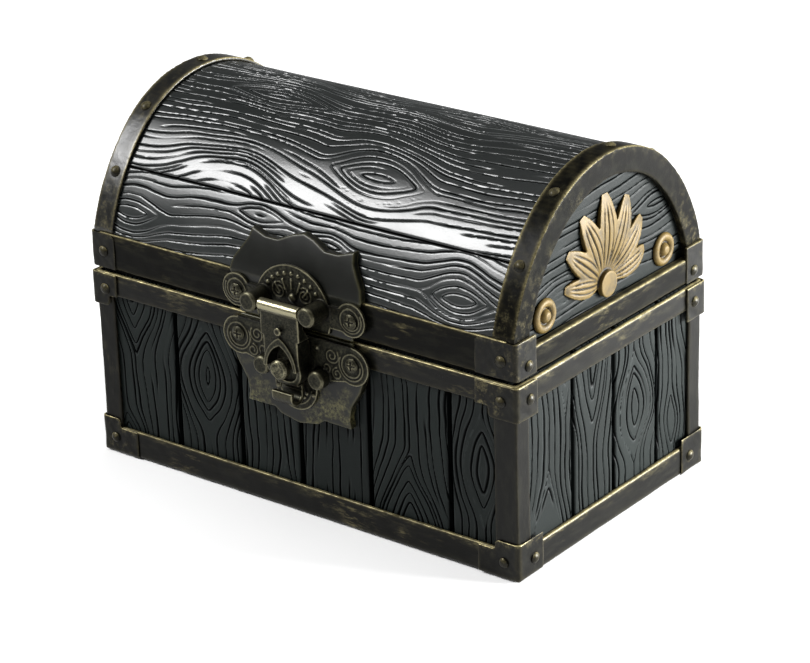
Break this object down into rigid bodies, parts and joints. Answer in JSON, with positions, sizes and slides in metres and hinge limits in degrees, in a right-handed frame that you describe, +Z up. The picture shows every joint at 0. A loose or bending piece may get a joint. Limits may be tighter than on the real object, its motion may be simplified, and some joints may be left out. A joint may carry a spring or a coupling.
{
  "type": "dice box",
  "caption": "Small treasure-chest box with a carved plank case, a barrel lid on two back hinges, strapped edges, riveted corner brackets and a hinged front latch.",
  "frame": {"origin": "middle of the flat underside, on the surface the box stands on", "axes": "+X along the length to the right of the latch, +Y to the hinged back, +Z up"},
  "size_m": [0.1414, 0.0958, 0.1016],
  "materials": {
    "inner_black_resin": "plain black cast resin, matt",
    "carved_black_resin": "near-black cast resin with carved wood grain, satin gloss",
    "dark_bronze_resin": "bronze-black painted resin, gold brushed on the edges",
    "gold_brushed_resin": "dark resin with mottled gold dry-brushing",
    "gold_relief_resin": "raised ornament brushed in old gold over black",
    "shield_resin": "smooth dark gloss with bright bevelled edges",
    "antique_bronze": "blackened cast bronze, raised parts worn bright",
    "worn_brass": "worn brass, polished on top and dark in the recesses"
  },
  "bodies": {
    "case": {"case_shell": "inner_black_resin", "front_planks": "carved_black_resin", "back_planks": "carved_black_resin", "left_planks": "carved_black_resin", "right_planks": "carved_black_resin", "corner_posts": "dark_bronze_resin", "base_band": "dark_bronze_resin", "rim_band": "dark_bronze_resin", "foot_brackets": "gold_brushed_resin", "rim_brackets": "gold_brushed_resin", "case_rivets": "gold_brushed_resin", "lower_shield": "shield_resin", "lower_latch_plate": "antique_bronze", "lower_latch_screws": "worn_brass", "hinge_case_leaves": "antique_bronze", "hinge_pins": "worn_brass", "hinge_case_screws": "worn_brass"},
    "lid": {"lid_shell": "inner_black_resin", "vault_boards": "carved_black_resin", "lid_band": "dark_bronze_resin", "lid_brackets": "gold_brushed_resin", "lid_rivets": "gold_brushed_resin", "left_hoop": "dark_bronze_resin", "right_hoop": "dark_bronze_resin", "hoop_studs": "dark_bronze_resin", "left_end_panel": "carved_black_resin", "right_end_panel": "carved_black_resin", "left_ornament": "gold_relief_resin", "right_ornament": "gold_relief_resin", "upper_shield": "shield_resin", "upper_latch_plate": "antique_bronze", "upper_latch_screws": "worn_brass", "latch_pin": "worn_brass", "hinge_lid_leaves": "antique_bronze", "hinge_lid_screws": "worn_brass"},
    "flap": {"latch_flap": "antique_bronze", "latch_knob": "worn_brass"}
  },
  "joints": [
    {"name": "lid_hinge", "type": "hinge", "parent": "case", "child": "lid", "pos_m": [0, 0.0436, 0.05315], "axis": [-1, 0, 0], "range_deg": [0, 105]},
    {"name": "flap_hinge", "type": "hinge", "parent": "lid", "child": "flap", "pos_m": [0.0013, -0.0486, 0.0604], "axis": [-1, 0, 0], "range_deg": [0, 135]}
  ]
}
